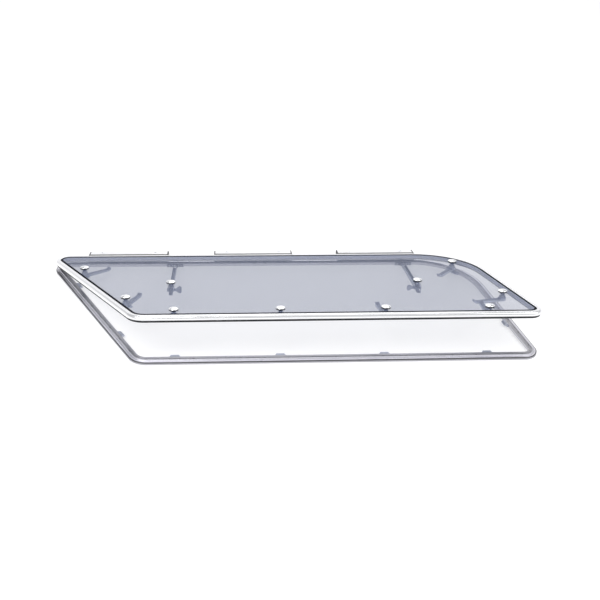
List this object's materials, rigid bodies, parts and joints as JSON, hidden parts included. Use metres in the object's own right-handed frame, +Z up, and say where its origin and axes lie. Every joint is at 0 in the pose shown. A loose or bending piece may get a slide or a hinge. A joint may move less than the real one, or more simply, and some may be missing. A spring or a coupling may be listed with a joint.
{
  "type": "deck hatch",
  "caption": "Low-profile hinged deck hatch: screwed-down alloy frame, framed acrylic lid held ajar by friction stays, turning dog handles.",
  "frame": {"origin": "centre of the footprint, hinge leaves included, on the deck face (bottom of the frame)", "axes": "+X to the right along the hinge line, +Y towards the hinges, +Z up, away from the deck"},
  "size_m": [1.434, 0.622, 0.1496],
  "materials": {
    "frame_alloy": "satin silver anodised extrusion",
    "trim_alloy": "bright polished anodised",
    "hinge_alloy": "bright satin anodised extrusion",
    "fittings_alloy": "cast, bead-blasted and anodised",
    "stainless": "turned stainless",
    "seal_rubber": "matt black weather seal",
    "glazing_sealant": "tooled black bedding sealant",
    "bush_nylon": "moulded black nylon",
    "tinted_acrylic": "polished blue-grey tinted cast sheet"
  },
  "bodies": {
    "base": {"base_frame": "frame_alloy", "hinge_left_base_leaf": "hinge_alloy", "hinge_left_pin": "stainless", "hinge_centre_base_leaf": "hinge_alloy", "hinge_centre_pin": "stainless", "hinge_right_base_leaf": "hinge_alloy", "hinge_right_pin": "stainless", "keeper_left_rear": "fittings_alloy", "keeper_left_front": "fittings_alloy", "keeper_front_1": "fittings_alloy", "keeper_front_2": "fittings_alloy", "keeper_front_3": "fittings_alloy", "keeper_front_4": "fittings_alloy", "keeper_right_front": "fittings_alloy", "keeper_right_rear": "fittings_alloy", "stay_left_bracket": "fittings_alloy", "stay_left_pivot_pin": "stainless", "stay_right_bracket": "fittings_alloy", "stay_right_pivot_pin": "stainless"},
    "lid": {"lid_trim": "trim_alloy", "lid_seal": "seal_rubber", "glazing_seal": "glazing_sealant", "lid_pane": "tinted_acrylic", "hinge_left_lid_leaf": "hinge_alloy", "hinge_centre_lid_leaf": "hinge_alloy", "hinge_right_lid_leaf": "hinge_alloy", "bush_left_rear": "bush_nylon", "bush_left_front": "bush_nylon", "bush_front_1": "bush_nylon", "bush_front_2": "bush_nylon", "bush_front_3": "bush_nylon", "bush_front_4": "bush_nylon", "bush_right_front": "bush_nylon", "bush_right_rear": "bush_nylon", "stay_left_yoke": "fittings_alloy", "stay_left_cap": "trim_alloy", "stay_right_yoke": "fittings_alloy", "stay_right_cap": "trim_alloy"},
    "handle_left_rear": {"cap_left_rear": "trim_alloy", "handle_left_rear": "fittings_alloy"},
    "handle_left_front": {"cap_left_front": "trim_alloy", "handle_left_front": "fittings_alloy"},
    "handle_front_1": {"cap_front_1": "trim_alloy", "handle_front_1": "fittings_alloy"},
    "handle_front_2": {"cap_front_2": "trim_alloy", "handle_front_2": "fittings_alloy"},
    "handle_front_3": {"cap_front_3": "trim_alloy", "handle_front_3": "fittings_alloy"},
    "handle_front_4": {"cap_front_4": "trim_alloy", "handle_front_4": "fittings_alloy"},
    "handle_right_front": {"cap_right_front": "trim_alloy", "handle_right_front": "fittings_alloy"},
    "handle_right_rear": {"cap_right_rear": "trim_alloy", "handle_right_rear": "fittings_alloy"},
    "stay_left_arm": {"stay_left_arm": "fittings_alloy"},
    "stay_left_knob": {"stay_left_knob": "fittings_alloy"},
    "stay_right_arm": {"stay_right_arm": "fittings_alloy"},
    "stay_right_knob": {"stay_right_knob": "fittings_alloy"}
  },
  "joints": [
    {"name": "lid_hinge", "type": "hinge", "parent": "base", "child": "lid", "pos_m": [-0.088, 0.259, 0.016], "axis": [-1, 0, 0], "range_deg": [-12.5, 47.5]},
    {"name": "handle_left_rear_turn", "type": "hinge", "parent": "lid", "child": "handle_left_rear", "pos_m": [-0.61419, 0.11386, 0.0451], "axis": [0, 0.2164, 0.9763], "range_deg": [-102.8, 77.2]},
    {"name": "handle_left_front_turn", "type": "hinge", "parent": "lid", "child": "handle_left_front", "pos_m": [-0.46354, -0.14877, 0.10333], "axis": [0, 0.2164, 0.9763], "range_deg": [-129.8, 50.2]},
    {"name": "handle_front_1_turn", "type": "hinge", "parent": "lid", "child": "handle_front_1", "pos_m": [-0.322, -0.24932, 0.12562], "axis": [0, 0.2164, 0.9763], "range_deg": [-180, 0]},
    {"name": "handle_front_2_turn", "type": "hinge", "parent": "lid", "child": "handle_front_2", "pos_m": [-0.025, -0.24932, 0.12562], "axis": [0, 0.2164, 0.9763], "range_deg": [-180, 0]},
    {"name": "handle_front_3_turn", "type": "hinge", "parent": "lid", "child": "handle_front_3", "pos_m": [0.272, -0.24932, 0.12562], "axis": [0, 0.2164, 0.9763], "range_deg": [-97, 83]},
    {"name": "handle_front_4_turn", "type": "hinge", "parent": "lid", "child": "handle_front_4", "pos_m": [0.569, -0.24932, 0.12562], "axis": [0, 0.2164, 0.9763], "range_deg": [-91, 89]},
    {"name": "handle_right_front_turn", "type": "hinge", "parent": "lid", "child": "handle_right_front", "pos_m": [0.63802, -0.12924, 0.099], "axis": [0, 0.2164, 0.9763], "range_deg": [-91.8, 0]},
    {"name": "handle_right_rear_turn", "type": "hinge", "parent": "lid", "child": "handle_right_rear", "pos_m": [0.54821, 0.15116, 0.03683], "axis": [0, 0.2164, 0.9763], "range_deg": [-87, 73]},
    {"name": "stay_left_arm_swing", "type": "hinge", "parent": "base", "child": "stay_left_arm", "pos_m": [-0.341, 0.217, 0.008], "axis": [-1, 0, 0], "range_deg": [-14, 53]},
    {"name": "stay_left_knob_turn", "type": "hinge", "parent": "lid", "child": "stay_left_knob", "pos_m": [-0.314, -0.02633, 0.06881], "axis": [-1, 0, 0], "range_deg": [0, 270]},
    {"name": "stay_right_arm_swing", "type": "hinge", "parent": "base", "child": "stay_right_arm", "pos_m": [0.403, 0.217, 0.008], "axis": [-1, 0, 0], "range_deg": [-14, 53]},
    {"name": "stay_right_knob_turn", "type": "hinge", "parent": "lid", "child": "stay_right_knob", "pos_m": [0.376, -0.02633, 0.06881], "axis": [1, 0, 0], "range_deg": [0, 270]}
  ],
  "couplings": [
    {"joint": "stay_left_arm_swing", "follows": "lid_hinge", "ratio": 1.111},
    {"joint": "stay_right_arm_swing", "follows": "lid_hinge", "ratio": 1.111}
  ]
}
